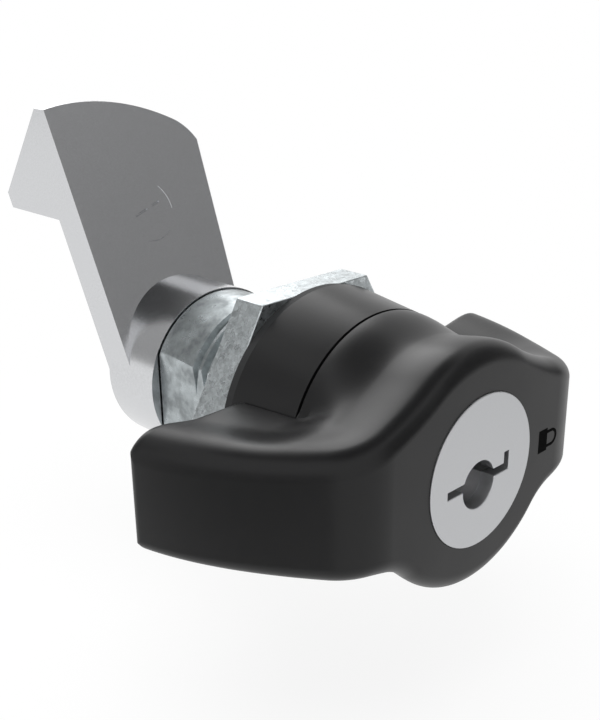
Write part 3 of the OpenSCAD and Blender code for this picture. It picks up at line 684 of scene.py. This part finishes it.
class LATCH_OT_sign(bpy.types.Operator):
    """Print the padlock sign on the knob's front"""

    bl_idname = "latch.sign"
    bl_label = "Padlock sign"

    def execute(self, context):
        sign = context.scene.latch_sign
        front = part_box("wing_knob")[0].y
        left = sign.place_x
        right = left + sign.body_length
        low = sign.place_z - sign.body_width / 2
        high = sign.place_z + sign.body_width / 2
        outer = sign.shackle_width / 2
        bow = (right + sign.shackle_length - outer, sign.place_z)
        lap = right - sign.stroke / 2
        inner = outer - sign.stroke
        shackle = [(lap, sign.place_z - outer)] + arc(bow, outer, -90, 90)
        shackle += [(lap, sign.place_z + outer), (lap, sign.place_z + inner)]
        shackle += arc(bow, inner, 90, -90) + [(lap, sign.place_z - inner)]
        body = [(left, low), (right, low), (right, high), (left, high)]
        ink = printing_ink(sign.tone)
        pieces = {"padlock_body": (body, sign.rise), "padlock_shackle": (shackle, sign.shackle_rise)}
        for name, (outline, rise) in pieces.items():
            print_piece = prism(name, outline, front - rise, front + sign.root)
            finish_piece(print_piece, "knob", ink, "knob_plastic")
        return {"FINISHED"}


# Metal pieces

class LATCH_OT_key_face(bpy.types.Operator):
    """Round the edges of the key face and give it its plate"""

    bl_idname = "latch.key_face"
    bl_label = "Key face"

    def execute(self, context):
        metal = context.scene.latch_metal
        face = welded_copy("key_face", "key_face_fine")
        round_edges(face, metal.face_edge, segments=3)
        shade(face)
        finish_piece(face, "knob", blasted_nickel(metal.face_tone), "face_chrome", "key_face")
        return {"FINISHED"}


class LATCH_OT_cam(bpy.types.Operator):
    """Draw in the cam's leading edge, round its cast edges and put the mould insert's mark on its arm"""

    bl_idname = "latch.cam"
    bl_label = "Cam"

    def execute(self, context):
        metal = context.scene.latch_metal
        cam = welded_copy("cam", "cam_fine")
        self.draw_in(cam, metal)
        round_edges(cam, metal.cast_edge, segments=4)

        def on_arm(across, up):
            """A point on the arm's front, from the middle of the mark."""
            reach = metal.mark_reach + up
            behind = metal.arm_root + reach * math.sin(metal.arm_lean)
            return (metal.mark_shift + across, behind, reach * math.cos(metal.arm_lean))

        for number, (start, end) in enumerate(MARK_ARCS):
            bow = [on_arm(x, z) for x, z in arc((0, 0), metal.mark_radius, start, end)]
            cut(cam, wire("bow_cutter_%d" % number, bow, metal.mark_line))
        side = metal.mark_radius * math.cos(metal.mark_turn)
        rise = metal.mark_radius * math.sin(metal.mark_turn)
        for number, dash in enumerate(MARK_DASHES):
            ends = [on_arm(share * side, share * rise) for share in dash]
            cut(cam, wire("dash_cutter_%d" % number, ends, metal.dash_line))
        shade(cam)
        finish_piece(cam, "knob", tumbled_casting(metal.cam_tone), "cam_zinc", "cam")
        return {"FINISHED"}

    def draw_in(self, cam, metal):
        """Cut the arm back to its leading edge and leave the round hub whole."""
        low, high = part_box("cam")
        hub = -low.z + metal.hub_gap
        slope = math.tan(metal.arm_flare)
        meets = math.degrees(math.acos(metal.arm_side / hub / math.hypot(1, slope)) - metal.arm_flare)
        far = high.x + PAST
        top = high.z + PAST
        outline = arc((0, 0), hub, HUB_START, meets)
        outline += [(metal.arm_side + slope * top, top), (far, top), (far, outline[0][1])]
        cut(cam, prism("flank_cutter", outline, low.y - PAST, high.y + PAST))


class LATCH_OT_shank(bpy.types.Operator):
    """Cut the thread into the shank"""

    bl_idname = "latch.shank"
    bl_label = "Threaded shank"

    def execute(self, context):
        metal = context.scene.latch_metal
        shank = welded_copy("housing", "threaded_shank")
        zinc = plated_metal("zinc_plate_clouded", metal.shank_tone, patch=1.6 * MM, contrast=0.28,
                            roughness=0.32)
        tree = thread_tree()
        thread = shank.modifiers.new("thread", "NODES")
        thread.node_group = tree
        turns = (metal.thread_end - metal.thread_start) / metal.thread_pitch
        given = {"Pitch": metal.thread_pitch, "Turns": turns, "Radius": metal.thread_radius,
                 "Depth": metal.thread_depth, "Start": metal.thread_start, "Material": zinc}
        for socket in tree.interface.items_tree:
            if socket.in_out == "INPUT" and socket.name in given:
                thread[socket.identifier] = given[socket.name]
        apply_modifiers(shank)
        shade(shank)
        finish_piece(shank, "base", zinc, "shank_zinc", "housing")
        return {"FINISHED"}


def thread_tree():
    """Geometry nodes that sweep a pointed groove along a helix on Y and cut it out of a shank."""
    tree = bpy.data.node_groups.new("thread_groove", "GeometryNodeTree")
    sockets = {"Geometry": "NodeSocketGeometry", "Pitch": "NodeSocketFloat", "Turns": "NodeSocketFloat",
               "Radius": "NodeSocketFloat", "Depth": "NodeSocketFloat", "Start": "NodeSocketFloat",
               "Material": "NodeSocketMaterial"}
    for name, kind in sockets.items():
        tree.interface.new_socket(name=name, in_out="INPUT", socket_type=kind)
    tree.interface.new_socket(name="Geometry", in_out="OUTPUT", socket_type="NodeSocketGeometry")
    given = add_node(tree, "NodeGroupInput").outputs
    rise = add_node(tree, "ShaderNodeMath", {0: given["Pitch"], 1: given["Turns"]}, operation="MULTIPLY")
    helix = add_node(tree, "GeometryNodeCurveSpiral", {"Resolution": THREAD_STEPS,
                                                       "Rotations": given["Turns"],
                                                       "Start Radius": given["Radius"],
                                                       "End Radius": given["Radius"],
                                                       "Height": rise.outputs[0]})
    upright = add_node(tree, "GeometryNodeSetCurveNormal", {"Curve": helix.outputs[0]}, mode="Z_UP")
    ring = add_node(tree, "GeometryNodeCurvePrimitiveCircle", {"Resolution": GROOVE_CORNERS,
                                                               "Radius": given["Depth"]})
    groove = add_node(tree, "GeometryNodeTransform", {"Geometry": ring.outputs[0],
                                                      "Scale": (1.0, GROOVE_SLOPE, 1.0)})
    swept = add_node(tree, "GeometryNodeCurveToMesh", {"Curve": upright.outputs[0],
                                                       "Profile Curve": groove.outputs[0],
                                                       "Fill Caps": True})
    start = add_node(tree, "ShaderNodeCombineXYZ", {"Y": given["Start"]})
    laid = add_node(tree, "GeometryNodeTransform", {"Geometry": swept.outputs[0],
                                                    "Translation": start.outputs[0],
                                                    "Rotation": (math.radians(-90), 0.0, 0.0)})
    left = add_node(tree, "GeometryNodeMeshBoolean", {0: given["Geometry"], 1: laid.outputs[0]},
                    operation="DIFFERENCE", solver="EXACT")
    real = add_node(tree, "GeometryNodeRealizeInstances", {"Geometry": left.outputs[0]})
    dressed = add_node(tree, "GeometryNodeSetMaterial", {"Geometry": real.outputs[0],
                                                         "Material": given["Material"]})
    add_node(tree, "NodeGroupOutput", {"Geometry": dressed.outputs[0]})
    return tree


class LATCH_OT_nut(bpy.types.Operator):
    """Break the edges of the panel nut and galvanise it"""

    bl_idname = "latch.nut"
    bl_label = "Panel nut"

    def execute(self, context):
        metal = context.scene.latch_metal
        nut = welded_copy("panel_nut", "panel_nut_fine")
        round_edges(nut, metal.nut_edge, segments=3)
        shade(nut)
        finish_piece(nut, "base", galvanised_steel(metal), "nut_zinc", "panel_nut")
        return {"FINISHED"}


class LATCH_OT_finishes(bpy.types.Operator):
    """Give the remaining CAD pieces their materials"""

    bl_idname = "latch.finishes"
    bl_label = "Other finishes"

    def execute(self, context):
        metal = context.scene.latch_metal
        drum_tone = context.scene.latch_knob.drum_tone
        dress(moulded_polyamide("polyamide_black_smooth", drum_tone, roughness=0.32), "drum_sleeve")
        dress(nitrile_rubber(), "gasket", "spindle_seal")
        dress(natural_acetal(), "front_bush", "rear_bush")
        steel = plated_metal("zinc_plated_steel", metal.steel_tone, patch=3 * MM, contrast=0.08,
                             roughness=0.34)
        dress(steel, "spindle", "stop_pin", "thrust_washer", "circlip", "knob_screws", "detent_ball",
              "detent_spring", "rotor_screw", "bolt_pin", "cam_washer", "split_washer", "cam_screw")
        # The wards and the rotor are bright nickel, made lighter still as painted light where little light
        # reaches inside the key hole.
        nickel = plated_metal("bright_nickel_and_painted_light", metal.key_tone_with_painted_light, patch=3 * MM, contrast=0.04,
                              roughness=0.3)
        dress(nickel, "ward_plates", "key_rotor")
        zinc = plated_metal("zinc_casting_plain", metal.shank_tone, patch=4 * MM, contrast=0.12,
                            roughness=0.42)
        dress(zinc, "lock_barrel", "spiral_cam", "lock_bolt")
        return {"FINISHED"}


# Stage

def soft_light(name, watts, side, offset, towards, mirrored):
    """A square soft light that shines towards a point and may show in glossy surfaces."""
    data = bpy.data.lights.new(name, "AREA")
    data.energy = watts
    data.size = side
    lamp = new_object(name, data)
    lamp.location = towards + Vector(offset)
    lamp.visible_glossy = mirrored
    lamp.rotation_euler = (-Vector(offset)).to_track_quat("-Z", "Y").to_euler()


def seen_by_eye(tree):
    """1 for rays from the camera and for mirrored and refracted ones, else 0."""
    path = add_node(tree, "ShaderNodeLightPath").outputs
    mirrored = add_node(tree, "ShaderNodeMath", {0: path["Is Camera Ray"], 1: path["Is Glossy Ray"]},
                        operation="ADD")
    every = add_node(tree, "ShaderNodeMath", {0: mirrored.outputs[0], 1: path["Is Transmission Ray"]},
                     operation="ADD", use_clamp=True)
    return every.outputs[0]


class LATCH_OT_stage(bpy.types.Operator):
    """Set up the camera, the soft lights, the cards, the pale floor and the white background"""

    bl_idname = "latch.stage"
    bl_label = "Stage"

    def execute(self, context):
        stage = context.scene.latch_stage
        self.set_camera(context, stage)
        self.set_world(context, stage)
        middle = (CAD_BOX[0] + CAD_BOX[1]) / 2
        soft_light("top_light", stage.top_power, stage.top_size, stage.top_place, middle, mirrored=False)
        soft_light("rim_light", stage.rim_power, stage.rim_size, stage.rim_place, middle, mirrored=True)
        self.add_floor(stage)
        self.add_card("front_card", stage.front_tone, stage.front_reach, middle, stage.front_place)
        self.add_card("ceiling_card", stage.ceiling_tone, stage.ceiling_reach, middle, stage.ceiling_place)
        self.add_card("side_card", stage.side_tone, stage.side_reach, middle, stage.side_place)
        self.add_card("back_card", stage.back_tone, stage.back_reach, middle, stage.back_place)
        context.scene.view_settings.view_transform = "Standard"
        return {"FINISHED"}

    def set_camera(self, context, stage):
        """The camera at the photograph's viewing angle."""
        data = bpy.data.cameras.new("camera")
        data.lens = stage.lens
        data.sensor_width = 36.0
        data.clip_start = 0.005
        data.clip_end = 10.0
        data.dof.use_dof = False
        camera = new_object("camera", data)
        view = (Vector(stage.target) - Vector(stage.eye)).to_track_quat("-Z", "Y")
        camera.rotation_mode = "QUATERNION"
        camera.rotation_quaternion = view @ Quaternion((0.0, 0.0, 1.0), stage.roll)
        camera.location = stage.eye
        context.scene.camera = camera

    def set_world(self, context, stage):
        """A world that looks white and lights the latch at a plain level."""
        world = bpy.data.worlds.new("white_studio")
        world.use_nodes = True
        tree = world.node_tree
        tree.nodes.clear()
        fill = add_node(tree, "ShaderNodeBackground", {"Color": WHITE, "Strength": stage.fill})
        seen = add_node(tree, "ShaderNodeBackground", {"Color": WHITE, "Strength": 1.0})
        both = add_node(tree, "ShaderNodeMixShader", {0: seen_by_eye(tree), 1: fill.outputs[0],
                                                      2: seen.outputs[0]})
        add_node(tree, "ShaderNodeOutputWorld", {"Surface": both.outputs[0]})
        context.scene.world = world

    def add_floor(self, stage):
        """A pale floor that lies clear of the wings when they are turned upright."""
        wing_end = CAD_BOX[0].x
        form = bmesh.new()
        bmesh.ops.create_grid(form, x_segments=1, y_segments=1, size=stage.floor_reach,
                              matrix=Matrix.Translation((0, 0, wing_end - stage.floor_gap)))
        floor = mesh_object("floor", form)
        material = bpy.data.materials.new("studio_floor_pale")
        material.use_nodes = True
        tree = material.node_tree
        tree.nodes.clear()
        matt = add_node(tree, "ShaderNodeBsdfDiffuse", {"Color": stage.floor_tone})
        glow = add_node(tree, "ShaderNodeEmission", {"Color": WHITE, "Strength": 1.0})
        spot = add_node(tree, "ShaderNodeTexCoord").outputs["Object"]
        far = add_node(tree, "ShaderNodeVectorMath", {0: spot}, operation="LENGTH")
        fade = add_node(tree, "ShaderNodeMapRange", {"Value": far.outputs["Value"],
                                                     "From Min": stage.glow_start,
                                                     "From Max": stage.glow_end,
                                                     "To Min": stage.floor_glow, "To Max": 1.0})
        share = add_node(tree, "ShaderNodeMath", {0: seen_by_eye(tree), 1: fade.outputs["Result"]},
                         operation="MULTIPLY")
        both = add_node(tree, "ShaderNodeMixShader", {0: share.outputs[0], 1: matt.outputs[0],
                                                      2: glow.outputs[0]})
        add_node(tree, "ShaderNodeOutputMaterial", {"Surface": both.outputs[0]})
        floor.data.materials.append(material)

    def add_card(self, name, tone, reach, middle, offset):
        """A card that only shows as a mirrored patch in the metal and the plastic."""
        form = bmesh.new()
        turn = Vector(offset).to_track_quat("Z", "Y").to_matrix().to_4x4()
        bmesh.ops.create_grid(form, x_segments=1, y_segments=1, size=reach,
                              matrix=Matrix.Translation(middle + Vector(offset)) @ turn)
        card = mesh_object(name, form)
        material = bpy.data.materials.new("studio_" + name)
        material.use_nodes = True
        material.node_tree.nodes["Principled BSDF"].inputs["Base Color"].default_value = tone
        card.data.materials.append(material)
        card.visible_camera = False
        card.visible_diffuse = False
        card.visible_shadow = False


class LATCH_PT_panel(bpy.types.Panel):
    """Settings and steps of the latch"""

    bl_idname = "LATCH_PT_panel"
    bl_label = "Cam latch"
    bl_space_type = "VIEW_3D"
    bl_region_type = "UI"
    bl_category = "Latch"

    def draw(self, context):
        """List the steps, then the settings group by group."""
        for operator in OPERATORS:
            self.layout.operator(operator.bl_idname)
        for group in GROUPS:
            settings = getattr(context.scene, group)
            box = self.layout.box()
            for name in settings.bl_rna.properties.keys():
                if name not in {"rna_type", "name"}:
                    box.prop(settings, name)


GROUPS = {
    "latch_knob": LatchKnobSettings,
    "latch_sign": LatchSignSettings,
    "latch_metal": LatchMetalSettings,
    "latch_stage": LatchStageSettings,
}
OPERATORS = (LATCH_OT_knob, LATCH_OT_sign, LATCH_OT_key_face, LATCH_OT_cam, LATCH_OT_shank, LATCH_OT_nut,
             LATCH_OT_finishes, LATCH_OT_stage)


def register():
    """Make the settings, the operators and the panel known to Blender."""
    for group in GROUPS.values():
        bpy.utils.register_class(group)
    for name, group in GROUPS.items():
        setattr(bpy.types.Scene, name, PointerProperty(type=group))
    for kind in (*OPERATORS, LATCH_PT_panel):
        bpy.utils.register_class(kind)


def unregister():
    """Take them out again."""
    for kind in reversed((*OPERATORS, LATCH_PT_panel)):
        bpy.utils.unregister_class(kind)
    for name, group in GROUPS.items():
        delattr(bpy.types.Scene, name)
        bpy.utils.unregister_class(group)


def main():
    """Build every piece and the stage."""
    register()
    bpy.ops.latch.knob()
    bpy.ops.latch.sign()
    bpy.ops.latch.key_face()
    bpy.ops.latch.cam()
    bpy.ops.latch.shank()
    bpy.ops.latch.nut()
    bpy.ops.latch.finishes()
    bpy.ops.latch.stage()


if __name__ == "__main__":
    main()
